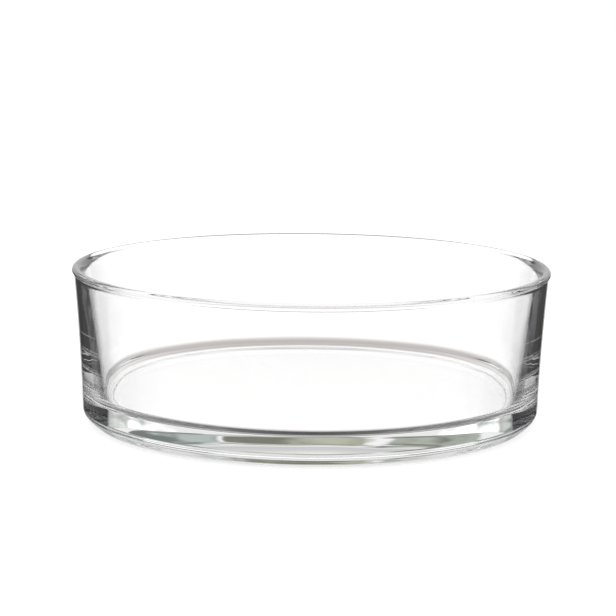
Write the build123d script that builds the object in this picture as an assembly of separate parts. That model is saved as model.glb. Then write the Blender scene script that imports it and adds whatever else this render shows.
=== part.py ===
from build123d import *
from math import radians, sin, tan
import os

# Clear glass dish for floating candles: one thick-walled body, round about the Z axis.
# It stands on a narrow flat ring under the heel, and the origin is the middle of that ring.
# Lengths are in millimetres and angles in degrees. Outline points are (distance from axis, height).

# Overall
rim_diameter = 190.0  # widest place, over the rolled rim
bowl_height = 62.1  # table to the crown of the rim

# Rim, melted round by the flame: four bends over the top, and a slacker one inside where the wall begins
rim_under_radius = 0.8  # from the underside out to the widest place
rim_side_radius = 1.5  # widest place to shoulder
rim_crown_radius = 1.6  # shoulder to the top
rim_lip_radius = 2.3  # top to the inner shoulder
rim_mouth_radius = 5.5  # inner shoulder down into the wall
rim_overhang = 0.8  # how far the roll stands out past its root
rim_root_fillet = 0.3  # hollow under the roll

# Wall, which flares upward and grows thicker downward: slack outside, a plain cone inside for the plunger to leave
wall_flare = 4.05  # how far the widest place stands out past the foot of the wall
wall_hollow = 0.4  # depth of the outer curve at mid height
foot_thickness = 6.5  # wall at its foot

# Heel and base
heel_bevel = 4.4  # slope that takes the corner off between wall and table
heel_radius = 4.7  # rounding of both edges of that slope
inner_heel_radius = 4.3  # rounding between wall and floor inside
floor_thickness = 10.5  # glass under the floor
push_up = 0.6  # how far the underside is lifted off the table inside the ring
push_up_slope = 1.2  # width of the slope between ring and lifted underside
bearing_ring_width = 3.0  # flat ring that the dish stands on

# Angles and shares
quarter_turn = 90.0
half_bend = quarter_turn / 2  # turn of one bend of the rim
bevel_share = 0.62  # slope behind the inner heel's rounding, as a share of its radius

# Places that follow from the sizes above
rim_radius = rim_diameter / 2
rim_rise = rim_side_radius * sin(radians(half_bend)) + rim_crown_radius * (1 - sin(radians(half_bend)))
widest_height = bowl_height - rim_rise
root_radius = rim_radius - rim_overhang
mouth_reach = rim_mouth_radius * tan(radians(half_bend / 2))
inner_bevel = inner_heel_radius * bevel_share
foot_radius = rim_radius - wall_flare
inner_foot_radius = foot_radius - foot_thickness
ring_inner_radius = foot_radius - heel_bevel - heel_radius * tan(radians(half_bend / 2)) - bearing_ring_width
floor_height = push_up + floor_thickness


def slack_curve(start, end, hollow):
    """A wall line, drawn upward, that sags towards the axis by the given depth."""
    chord = end - start
    towards_axis = Vector(-chord.Y, chord.X).normalized()
    return ThreePointArc(start, start + chord / 2 + towards_axis * hollow, end)


def rim_bends():
    """The rolled rim, from its underside over the top and down inside, and the corners on either side of it."""
    under_centre = (rim_radius - rim_under_radius, widest_height)
    bend = CenterArc(under_centre, rim_under_radius, -half_bend, half_bend)
    underside = bend @ 0
    for radius in (rim_side_radius, rim_crown_radius, rim_lip_radius):
        bend = JernArc(bend @ 1, bend % 1, radius, half_bend)
    root = Vector(root_radius, underside.Y - (underside.X - root_radius) * tan(radians(half_bend)))
    mouth = bend @ 1 + (bend % 1) * mouth_reach
    Line(root, underside)
    Line(bend @ 1, mouth)
    return root, mouth


def bowl_section():
    """Half of the cut through the dish."""
    lifted_middle = Vector(0, push_up)
    slope_top = Vector(ring_inner_radius - push_up_slope, push_up)
    ring_inside = Vector(ring_inner_radius, 0)
    heel_edge = Vector(foot_radius - heel_bevel, 0)
    outer_foot = Vector(foot_radius, heel_bevel)
    inner_foot = Vector(inner_foot_radius, floor_height + inner_bevel)
    floor_edge = Vector(inner_foot_radius - inner_bevel, floor_height)
    floor_middle = Vector(0, floor_height)

    with BuildSketch() as section:
        with BuildLine():
            Polyline(lifted_middle, slope_top, ring_inside, heel_edge, outer_foot)
            root, mouth = rim_bends()
            slack_curve(outer_foot, root, wall_hollow)
            Polyline(mouth, inner_foot, floor_edge, floor_middle, lifted_middle)
        make_face()
        for corner, radius in (
            (root, rim_root_fillet),
            (mouth, rim_mouth_radius),
            (heel_edge, heel_radius),
            (outer_foot, heel_radius),
            (inner_foot, inner_heel_radius),
            (floor_edge, inner_heel_radius),
        ):
            fillet(section.vertices().sort_by_distance(corner)[0], radius)
    return section.sketch


def glass_bowl():
    with BuildPart() as bowl:
        with BuildSketch(Plane.XZ):
            add(bowl_section())
        revolve(axis=Axis.Z)
    return bowl.part


os.makedirs("parts", exist_ok=True)
dish = glass_bowl()
dish.label = "glass_bowl"
export_step(dish, "parts/glass_bowl.step")
bounds = dish.bounding_box()
print("glass_bowl", bounds.size.X, bounds.size.Y, bounds.size.Z, "mm,", dish.volume, "mm3")
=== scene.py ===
from math import atan, atan2, cos, hypot, pi, radians, sin, tan

import bpy
from mathutils import Matrix, Vector, noise


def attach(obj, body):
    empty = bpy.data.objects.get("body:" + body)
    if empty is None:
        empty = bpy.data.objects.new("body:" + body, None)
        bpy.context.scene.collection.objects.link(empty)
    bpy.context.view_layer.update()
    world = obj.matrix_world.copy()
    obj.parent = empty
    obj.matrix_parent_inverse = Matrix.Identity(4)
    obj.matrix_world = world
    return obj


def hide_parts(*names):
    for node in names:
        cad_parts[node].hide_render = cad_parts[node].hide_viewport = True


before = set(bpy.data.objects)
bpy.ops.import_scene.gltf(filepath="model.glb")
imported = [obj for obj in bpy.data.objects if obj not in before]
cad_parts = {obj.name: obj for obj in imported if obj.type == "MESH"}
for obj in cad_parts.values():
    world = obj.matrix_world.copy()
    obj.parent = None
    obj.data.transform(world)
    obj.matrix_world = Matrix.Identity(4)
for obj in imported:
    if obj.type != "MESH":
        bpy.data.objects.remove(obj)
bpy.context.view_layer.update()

# Clear glass dish for floating candles. Metres throughout, the same frame as the CAD: origin on the table under
# the middle of the dish, Z up. The dish is turned from one outline, finer than the CAD mesh, so that light bends
# smoothly in it.

mm = 0.001


# Shader helpers

class Socket:
    # one output of a node; sums and products of these add Math nodes
    def __init__(self, shader, out):
        self.shader = shader
        self.out = out

    def maths(self, operation, first, second=None):
        return self.shader.node("ShaderNodeMath", {"operation": operation}, {0: first, 1: second})

    def __add__(self, other):
        return self.maths("ADD", self, other)

    def __sub__(self, other):
        return self.maths("SUBTRACT", self, other)

    def __rsub__(self, other):
        return self.maths("SUBTRACT", other, self)

    def __mul__(self, other):
        return self.maths("MULTIPLY", self, other)

    def __truediv__(self, other):
        return self.maths("DIVIDE", self, other)

    def __gt__(self, other):
        return self.maths("GREATER_THAN", self, other)

    def __lt__(self, other):
        return self.maths("LESS_THAN", self, other)

    def step(self, low, high):
        # 0 below low, 1 above high, soft between
        return self.shader.node("ShaderNodeMapRange", {"interpolation_type": "SMOOTHSTEP"},
                                {"Value": self, "From Min": low, "From Max": high})


class Shader:
    def __init__(self, owner):
        owner.use_nodes = True
        self.tree = owner.node_tree
        self.tree.nodes.clear()

    def node(self, kind, settings=None, sockets=None, out=0):
        made = self.tree.nodes.new(kind)
        for name, value in (settings or {}).items():
            if name == "stops":
                self.fillRamp(made.color_ramp, value)
            else:
                setattr(made, name, value)
        for key, value in (sockets or {}).items():
            if value is None:
                continue
            if isinstance(value, Socket):
                self.tree.links.new(value.out, made.inputs[key])
            else:
                made.inputs[key].default_value = value
        return Socket(self, made.outputs[out])

    def fillRamp(self, ramp, stops):
        while len(ramp.elements) < len(stops):
            ramp.elements.new(0.5)
        for element, (place, colour) in zip(ramp.elements, stops):
            element.position = place
            element.color = (*colour, 1)

    def output(self, kind, **shaders):
        end = self.tree.nodes.new(kind)
        for name, value in shaders.items():
            self.tree.links.new(value.out, end.inputs[name])


# Outline of the dish

class Straight:
    def __init__(self, start, end):
        self.start, self.end = start, end
        self.length = hypot(end[0] - start[0], end[1] - start[1])
        self.way = ((end[0] - start[0]) / self.length, (end[1] - start[1]) / self.length)

    def at(self, t):
        return (self.start[0] + self.way[0] * self.length * t, self.start[1] + self.way[1] * self.length * t)

    def beside(self, t, gap):
        x, z = self.at(t)
        return (x - self.way[1] * gap, z + self.way[0] * gap)

    def gapTo(self, p):
        return self.way[0] * (p[1] - self.start[1]) - self.way[1] * (p[0] - self.start[0])

    def shareAt(self, p):
        return (self.way[0] * (p[0] - self.start[0]) + self.way[1] * (p[1] - self.start[1])) / self.length

    def part(self, low, high):
        return Straight(self.at(low), self.at(high))


class Arc:
    def __init__(self, centre, radius, fromAngle, toAngle):
        self.centre, self.radius = centre, radius
        self.fromAngle, self.toAngle = fromAngle, toAngle
        self.turn = 1 if toAngle > fromAngle else -1
        self.length = abs(toAngle - fromAngle) * radius

    def at(self, t):
        angle = self.fromAngle + (self.toAngle - self.fromAngle) * t
        return (self.centre[0] + self.radius * cos(angle), self.centre[1] + self.radius * sin(angle))

    def beside(self, t, gap):
        angle = self.fromAngle + (self.toAngle - self.fromAngle) * t
        reach = self.radius - self.turn * gap
        return (self.centre[0] + reach * cos(angle), self.centre[1] + reach * sin(angle))

    def gapTo(self, p):
        return self.turn * (self.radius - hypot(p[0] - self.centre[0], p[1] - self.centre[1]))

    def shareAt(self, p):
        angle = atan2(p[1] - self.centre[1], p[0] - self.centre[0])
        middle = (self.fromAngle + self.toAngle) / 2
        while angle < middle - pi:
            angle += 2 * pi
        while angle > middle + pi:
            angle -= 2 * pi
        return (angle - self.fromAngle) / (self.toAngle - self.fromAngle)

    def part(self, low, high):
        sweep = self.toAngle - self.fromAngle
        return Arc(self.centre, self.radius, self.fromAngle + sweep * low, self.fromAngle + sweep * high)


def arcThrough(start, middle, end):
    # circle through three points, run in their order
    (ax, az), (bx, bz), (cx, cz) = start, middle, end
    d = 2 * (ax * (bz - cz) + bx * (cz - az) + cx * (az - bz))
    ux = ((ax * ax + az * az) * (bz - cz) + (bx * bx + bz * bz) * (cz - az) + (cx * cx + cz * cz) * (az - bz)) / d
    uz = ((ax * ax + az * az) * (cx - bx) + (bx * bx + bz * bz) * (ax - cx) + (cx * cx + cz * cz) * (bx - ax)) / d
    first, last = atan2(az - uz, ax - ux), atan2(cz - uz, cx - ux)
    while last - first > pi:
        last -= 2 * pi
    while last - first < -pi:
        last += 2 * pi
    return Arc((ux, uz), hypot(ax - ux, az - uz), first, last)


def nextBend(bend, radius, turn):
    # an arc that goes on from the end of another without a corner
    share = radius / bend.radius
    end = bend.at(1)
    centre = (end[0] + (bend.centre[0] - end[0]) * share, end[1] + (bend.centre[1] - end[1]) * share)
    return Arc(centre, radius, bend.toAngle, bend.toAngle + radians(turn))


def rounded(before, after, radius, leftward):
    # takes the corner between two stretches off with an arc: walks back from the corner until the arc's centre is
    # as far from the one as from the other, then halves the last stride
    gap = radius if leftward else -radius

    def miss(t):
        return after.gapTo(before.beside(t, gap)) - gap

    share, side, stride, halvings = 1.0, miss(1.0), 0.002, 50
    while share > 0 and miss(share) * side > 0:
        share -= stride
    low, high = share, share + stride
    for _ in range(halvings):
        share = (low + high) / 2
        if miss(share) * side > 0:
            high = share
        else:
            low = share
    centre = before.beside(share, gap)
    onward = after.shareAt(centre)
    p, q = before.at(share), after.at(onward)
    first, last = atan2(p[1] - centre[1], p[0] - centre[0]), atan2(q[1] - centre[1], q[0] - centre[0])
    if leftward and last < first:
        last += 2 * pi
    if not leftward and last > first:
        last -= 2 * pi
    return before.part(0, share), Arc(centre, radius, first, last), after.part(onward, 1)


dish = {  # millimetres
    "rimDiameter": 190.0,
    "height": 62.1,
    "rimUnder": 0.8,  # bends of the rim, from below the widest place over the top to the inside
    "rimSide": 1.5,
    "rimCrown": 1.6,
    "rimLip": 2.3,
    "rimMouth": 5.5,
    "overhang": 0.8,
    "rootFillet": 0.3,
    "wallFlare": 4.05,  # how far the rim stands out past the foot of the wall
    "wallHollow": 0.4,
    "footThickness": 6.5,
    "heelBevel": 4.4,
    "heelRadius": 4.7,
    "innerHeelRadius": 4.3,
    "innerBevelShare": 0.62,
    "floorThickness": 10.5,
    "pushUp": 0.6,
    "pushUpSlope": 1.2,
    "ringWidth": 3.0,
    "softEdge": 0.5,  # rounding of the shallow edges underneath
    "around": 480,  # steps round the dish
}


def dishOutline(d):
    # stretches from the axis under the base, round the outside and the rim, and back to the axis on the floor
    rim = d["rimDiameter"] / 2
    half = sin(pi / 4)
    widest = d["height"] - d["rimSide"] * half - d["rimCrown"] * (1 - half)
    foot = rim - d["wallFlare"]
    innerFoot = foot - d["footThickness"]
    innerBevel = d["innerHeelRadius"] * d["innerBevelShare"]
    ringInside = foot - d["heelBevel"] - d["heelRadius"] * tan(pi / 8) - d["ringWidth"]
    floor = d["pushUp"] + d["floorThickness"]

    under = Arc((rim - d["rimUnder"], widest), d["rimUnder"], -pi / 4, 0)
    side = nextBend(under, d["rimSide"], 45)
    crown = nextBend(side, d["rimCrown"], 45)
    lip = nextBend(crown, d["rimLip"], 45)
    tuck, lipEnd = under.at(0), lip.at(1)
    root = (rim - d["overhang"], tuck[1] - tuck[0] + rim - d["overhang"])
    mouthSlope = d["rimMouth"] * tan(pi / 8) * half
    mouthCorner = (lipEnd[0] - mouthSlope, lipEnd[1] - mouthSlope)
    outerFoot = (foot, d["heelBevel"])
    chord = (root[0] - outerFoot[0], root[1] - outerFoot[1])
    reach = d["wallHollow"] / hypot(*chord)
    middle = (outerFoot[0] + chord[0] / 2 - chord[1] * reach, outerFoot[1] + chord[1] / 2 + chord[0] * reach)

    recess = Straight((0, d["pushUp"]), (ringInside - d["pushUpSlope"], d["pushUp"]))
    slope = Straight(recess.at(1), (ringInside, 0))
    ring = Straight((ringInside, 0), (foot - d["heelBevel"], 0))
    bevel = Straight(ring.at(1), outerFoot)
    wall = arcThrough(outerFoot, middle, root)
    underside = Straight(root, tuck)
    mouth = Straight(lipEnd, mouthCorner)
    inside = Straight(mouthCorner, (innerFoot, floor + innerBevel))
    innerSlope = Straight(inside.at(1), (innerFoot - innerBevel, floor))
    floorLine = Straight(innerSlope.at(1), (0, floor))

    recess, hollowEdge, slope = rounded(recess, slope, d["softEdge"], False)
    slope, ringEdge, ring = rounded(slope, ring, d["softEdge"], True)
    ring, heelLow, bevel = rounded(ring, bevel, d["heelRadius"], True)
    bevel, heelHigh, wall = rounded(bevel, wall, d["heelRadius"], True)
    wall, rootHollow, underside = rounded(wall, underside, d["rootFillet"], False)
    mouth, throat, inside = rounded(mouth, inside, d["rimMouth"], True)
    inside, innerHigh, innerSlope = rounded(inside, innerSlope, d["innerHeelRadius"], False)
    innerSlope, innerLow, floorLine = rounded(innerSlope, floorLine, d["innerHeelRadius"], False)
    return [
        (recess, 14), (hollowEdge, 3), (slope, 2), (ringEdge, 3), (ring, 3),
        (heelLow, 10), (bevel, 3), (heelHigh, 10), (wall, 24), (rootHollow, 5),
        (underside, 2), (under, 6), (side, 8), (crown, 8), (lip, 8), (mouth, 2), (throat, 10),
        (inside, 24), (innerHigh, 10), (innerSlope, 2), (innerLow, 10), (floorLine, 14),
    ]


waves = {  # the glass is never quite round, which breaks up what it mirrors
    "depth": 0.12,  # millimetres, always inward
    "around": 9.0,  # waves on the whole way round, about
    "upward": 0.05,  # per millimetre
    "fine": 0.012,
    "fineAround": 31.0,
    "seeds": (3.0, 11.0),
}


def waviness(angle, z):
    def swell(rate, seed):
        return noise.noise(Vector((rate * cos(angle) / 2, rate * sin(angle) / 2, z * waves["upward"] + seed)))

    broadSeed, fineSeed = waves["seeds"]
    depth = waves["depth"] * (0.5 + 0.5 * swell(waves["around"], broadSeed))
    return depth + waves["fine"] * (0.5 + 0.5 * swell(waves["fineAround"], fineSeed))


def turnedDish(d):
    points = []
    for stretch, steps in dishOutline(d):
        points += [stretch.at(i / steps) for i in range(steps)]
    points.append((0, points[-1][1]))
    around = d["around"]
    vertices, faces, rings = [], [], []
    for x, z in points:
        if x < 1e-6:
            rings.append([len(vertices)])
            vertices.append((0, 0, z * mm))
            continue
        rings.append(range(len(vertices), len(vertices) + around))
        for i in range(around):
            angle = 2 * pi * i / around
            reach = (x - waviness(angle, z)) * mm
            vertices.append((reach * cos(angle), reach * sin(angle), z * mm))
    for lower, upper in zip(rings[:-1], rings[1:]):
        for i in range(around):
            j = (i + 1) % around
            if len(lower) == 1:
                faces.append((lower[0], upper[j], upper[i]))
            elif len(upper) == 1:
                faces.append((lower[i], lower[j], upper[0]))
            else:
                faces.append((lower[i], lower[j], upper[j], upper[i]))
    mesh = bpy.data.meshes.new("glassDish")
    mesh.from_pydata(vertices, [], faces)
    mesh.shade_smooth()
    return mesh


glass = {
    "tint": (1.0, 1.0, 1.0),
    "ior": 1.52,
    "roughness": 0.0,
    "paintedGlow": 0.035,  # painted glow in the glass, standing in for light that is still going round in it after the last bounce
    # painted glow in the rim, much stronger, which lightens the rim
    "paintedRimGlow": 0.6,
    "rimFrom": 57.5,  # millimetres above the table
}


def clearGlass():
    material = bpy.data.materials.new("clearGlass")
    shader = Shader(material)
    spent = shader.node("ShaderNodeLightPath", None, None, out="Ray Depth") > studio["bounces"] - 0.5
    place = shader.node("ShaderNodeTexCoord", None, None, out="Object")
    high = shader.node("ShaderNodeSeparateXYZ", None, {0: place}, out="Z") > glass["rimFrom"] * mm
    # painted glow, added where a ray has used up its bounces: faint in the body, stronger in the rim above rimFrom
    left = spent * (high * (glass["paintedRimGlow"] - glass["paintedGlow"]) + glass["paintedGlow"])
    left = shader.node("ShaderNodeMix", {"data_type": "RGBA"}, {0: left, 6: (0, 0, 0, 1), 7: (1, 1, 1, 1)}, out=2)
    body = shader.node("ShaderNodeBsdfPrincipled", None, {
        "Base Color": (*glass["tint"], 1), "Roughness": glass["roughness"], "IOR": glass["ior"],
        "Transmission Weight": 1.0, "Emission Color": left, "Emission Strength": 1.0,
    })
    shader.output("ShaderNodeOutputMaterial", Surface=body)
    material.cycles.emission_sampling = "NONE"
    return material


# Camera and studio

camera = {
    "distance": 0.95,
    "elevation": 8.65,
    "halfPicture": 308.0,  # pixels
    "focalPixels": 2386.0,
    "rimPixel": (311.1, 268.5),  # where the middle of the rim falls in the picture
    "roll": 0.6,  # degrees
    "rimHeight": 0.0606,  # metres
}


def placeCamera():
    c = camera
    half = c["halfPicture"]
    lens = bpy.data.cameras.new("camera")
    lens.sensor_width = 36
    lens.lens = c["focalPixels"] / (2 * half) * lens.sensor_width
    lens.clip_start = 0.01
    lift = radians(c["elevation"])
    target = Vector((0, 0, c["rimHeight"]))
    back = Vector((0, -cos(lift), sin(lift)))
    right = Vector((1, 0, 0))
    turn = Matrix((right, back.cross(right), back)).transposed()
    turn = turn @ Matrix.Rotation(atan((c["rimPixel"][0] - half) / c["focalPixels"]), 3, "Y")
    turn = turn @ Matrix.Rotation(atan((c["rimPixel"][1] - half) / c["focalPixels"]), 3, "X")
    turn = turn @ Matrix.Rotation(radians(c["roll"]), 3, "Z")
    holder = bpy.data.objects.new("camera", lens)
    holder.matrix_world = Matrix.Translation(target + back * c["distance"]) @ turn.to_4x4()
    bpy.context.scene.collection.objects.link(holder)
    bpy.context.scene.camera = holder


studio = {
    # brightness by elevation in degrees, where behind and before say on which side of the dish the light stands:
    # straight through two or more thicknesses of glass, or through one alone, then mirrored once, and twice or more
    "straight": ((-90, 0.15), (-64, 0.3), (-50, (0.44, 0.41, 0.395)), (-38, (0.53, 0.495, 0.475)),
                 (-29, (0.88, 0.86, 0.85)), (-21, 1.2), (-8, 1.25), (20, 1.1), (45, 1.3), (90, 1.3)),
    "through": ((-90, 1.2), (-62, 1.2), (-54, 0.25), (-36, 0.3), (-29, 1.2), (6, 1.2), (14, 0.4), (90, 0.6)),
    "once": {
        "behind": ((-90, 0.02), (-65, 0.1), (-45, 0.35), (-35, 0.45), (-22, 0.6), (-10, 0.65), (5, 0.75), (18, 0.9),
                   (90, 1.0)),
        "before": ((-90, 0.02), (-70, 0.1), (-55, 0.5), (-30, 0.9), (90, 1.0)),
    },
    "twice": {
        "behind": ((-90, 1.0), (-20, 0.95), (-5, 0.9), (0, 0.55), (8, 0.65), (18, 0.9), (30, 1.0), (90, 0.85)),
        "before": ((-90, 0.7), (-20, 0.5), (10, 0.58), (30, 0.7), (90, 0.65)),
    },
    # mirrored four times or more, by azimuth
    "often": ((0, 1.0), (35, 1.0), (65, 0.8), (110, 0.7), (150, 0.3), (180, 0.3)),
    "turn": (80, 110),  # degrees off the line straight back at which behind gives way to before
    "softness": 2.5,  # degrees over which a card's edge fades
    "ragged": (24.0, 7.0),  # degrees by which a card's side edges and its upper and lower ones wander
    "streaks": (0.07, 0.5),  # per degree of azimuth and of elevation
    "streakEdge": (0.38, 0.58),  # noise at which a streak begins and ends
    "streakShade": 0.35,  # darkest streak on a card, as a share of its colour
    "belowOne": 0.999999,  # keeps the arcsine of a ray straight up defined
    "bounces": 12,
}

# Grey cards round the dish, which draw the edges of the glass, each seen by light mirrored so many times. Azimuth
# is in degrees off the line straight back, to the right, and mirrored ones stand on both sides.
cards = {
    "low beside": {"azimuth": (12, 42), "elevation": (-38, -15), "colour": (0.24, 0.24, 0.25), "times": (1, 1),
                   "bothSides": True},
    "level beside": {"azimuth": (16, 64), "elevation": (-15, -2), "colour": (0.05, 0.05, 0.05), "times": (1, 1),
                     "bothSides": True},
    "low aside": {"azimuth": (38, 75), "elevation": (-68, -24), "colour": (0.23, 0.23, 0.23), "times": (1, 1),
                  "bothSides": True},
    "lamp aside": {"azimuth": (23, 43), "elevation": (13, 27), "colour": (2.6, 2.6, 2.6), "times": (1, 1),
                   "bothSides": True},
    "screen beside": {"azimuth": (16, 23), "elevation": (14, 30), "colour": (0.2, 0.2, 0.21), "times": (1, 1),
                      "bothSides": True},
    "green aside": {"azimuth": (33, 50), "elevation": (-4, 13), "colour": (0.40, 0.45, 0.41), "times": (0, 1),
                    "bothSides": True},
    "level aside": {"azimuth": (50, 84), "elevation": (-4, 18), "colour": (0.02, 0.02, 0.025), "times": (0, 2),
                    "bothSides": True},
    "green right": {"azimuth": (15, 37), "elevation": (-17, -4), "colour": (0.42, 0.48, 0.46), "times": (2, 3),
                    "bothSides": False},
    "olive middle": {"azimuth": (-9, 13), "elevation": (-17, -6), "colour": (0.46, 0.47, 0.38), "times": (2, 3),
                     "bothSides": False},
    "green left": {"azimuth": (-33, -12), "elevation": (-17, -4), "colour": (0.40, 0.43, 0.37), "times": (2, 3),
                   "bothSides": False},
}


def studioLight():
    world = bpy.data.worlds.new("studio")
    bpy.context.scene.world = world
    sky = Shader(world)
    way = sky.node("ShaderNodeTexCoord")  # Generated is the direction of the ray
    sideways = sky.node("ShaderNodeSeparateXYZ", None, {0: way}, out="X")
    depth = Socket(sky, sideways.out.node.outputs["Y"])
    height = Socket(sky, sideways.out.node.outputs["Z"])
    lift = sky.node("ShaderNodeMath", {"operation": "ARCSINE"}, {0: height * studio["belowOne"]})
    azimuth = sky.node("ShaderNodeMath", {"operation": "ARCTAN2"}, {0: sideways, 1: depth}) * (180 / pi)
    aside = sky.node("ShaderNodeMath", {"operation": "ABSOLUTE"}, {0: azimuth})
    elevation = lift * (180 / pi)
    along = lift / pi + 0.5
    times = sky.node("ShaderNodeLightPath", None, None, out="Glossy Depth")
    walls = sky.node("ShaderNodeLightPath", None, None, out="Transmission Depth")

    def ramp(stops, place=along, low=-90):
        colours = [((angle - low) / 180, c if isinstance(c, tuple) else (c, c, c)) for angle, c in stops]
        return sky.node("ShaderNodeValToRGB", {"stops": colours}, {0: place})

    def mixed(share, first, second):
        return sky.node("ShaderNodeMix", {"data_type": "RGBA"}, {0: share, 6: first, 7: second}, out=2)

    def between(angle, low, high):
        soft = studio["softness"] / 2
        return angle.step(low - soft, low + soft) * (1 - angle.step(high - soft, high + soft))

    def around(light):
        return mixed(aside.step(*studio["turn"]), ramp(light["behind"]), ramp(light["before"]))

    straight = mixed((walls > 0.5) * (walls < 2.5), ramp(studio["straight"]), ramp(studio["through"]))
    light = mixed(times > 0.5, straight, around(studio["once"]))
    light = mixed(times > 1.5, light, around(studio["twice"]))
    light = mixed(times > 3.5, light, ramp(studio["often"], aside / 180, 0))
    across, upward = studio["streaks"]
    streaky = sky.node("ShaderNodeCombineXYZ", None, {0: azimuth * across, 1: elevation * upward})
    streak = sky.node("ShaderNodeTexNoise", None, {"Vector": streaky, "Scale": 1.0, "Detail": 3.0}, out="Fac")
    wander = streak - 0.5
    raggedAzimuth, raggedElevation = (wander * reach for reach in studio["ragged"])
    for card in cards.values():
        share = between(aside if card["bothSides"] else azimuth + raggedAzimuth, *card["azimuth"])
        share = share * between(elevation + raggedElevation, *card["elevation"])
        share = share * (times > card["times"][0] - 0.5) * (times < card["times"][1] + 0.5)
        dark = [c * studio["streakShade"] for c in card["colour"]]
        face = mixed(streak.step(*studio["streakEdge"]), (*dark, 1), (*card["colour"], 1))
        light = mixed(share, light, face)
    seen = sky.node("ShaderNodeLightPath", None, None, out="Is Camera Ray")
    lit = sky.node("ShaderNodeBackground", None, {"Color": light})
    plain = sky.node("ShaderNodeBackground", None, {"Color": (1, 1, 1, 1)})
    sky.output("ShaderNodeOutputWorld", Surface=sky.node("ShaderNodeMixShader", None, {0: seen, 1: lit, 2: plain}))
    cycles = bpy.context.scene.cycles
    cycles.max_bounces = cycles.glossy_bounces = cycles.transmission_bounces = studio["bounces"]


table = {
    "half": 3.0,
    "drop": 0.00005,  # a hair under the dish
    "glow": 0.72,  # share of the white that no shadow takes away
    "paper": 0.4,
}


def paleTable():
    half, low = table["half"], -table["drop"]
    mesh = bpy.data.meshes.new("paleTable")
    corners = [(-half, -half, low), (half, -half, low), (half, half, low), (-half, half, low)]
    mesh.from_pydata(corners, [], [(0, 1, 2, 3)])
    floor = bpy.data.objects.new("paleTable", mesh)
    bpy.context.scene.collection.objects.link(floor)
    material = bpy.data.materials.new("paleTable")
    shader = Shader(material)
    paper = shader.node("ShaderNodeBsdfDiffuse", None, {"Color": (*[table["paper"]] * 3, 1)})
    glow = shader.node("ShaderNodeEmission", None, {"Color": (1, 1, 1, 1), "Strength": table["glow"]})
    seenPaper = shader.node("ShaderNodeAddShader", None, {0: paper, 1: glow})
    openWay = shader.node("ShaderNodeBsdfTransparent")
    seen = shader.node("ShaderNodeLightPath", None, None, out="Is Camera Ray")
    shader.output("ShaderNodeOutputMaterial",
                  Surface=shader.node("ShaderNodeMixShader", None, {0: seen, 1: openWay, 2: seenPaper}))
    mesh.materials.append(material)


bpy.context.scene.view_settings.view_transform = "Standard"
placeCamera()
print("camera placed")
studioLight()
paleTable()
print("studio made")

piece = bpy.data.objects.new("glassDish", turnedDish(dish))
bpy.context.scene.collection.objects.link(piece)
piece.data.materials.append(clearGlass())
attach(piece, "root")
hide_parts("glass_bowl")
print("dish turned:", len(piece.data.polygons), "faces")
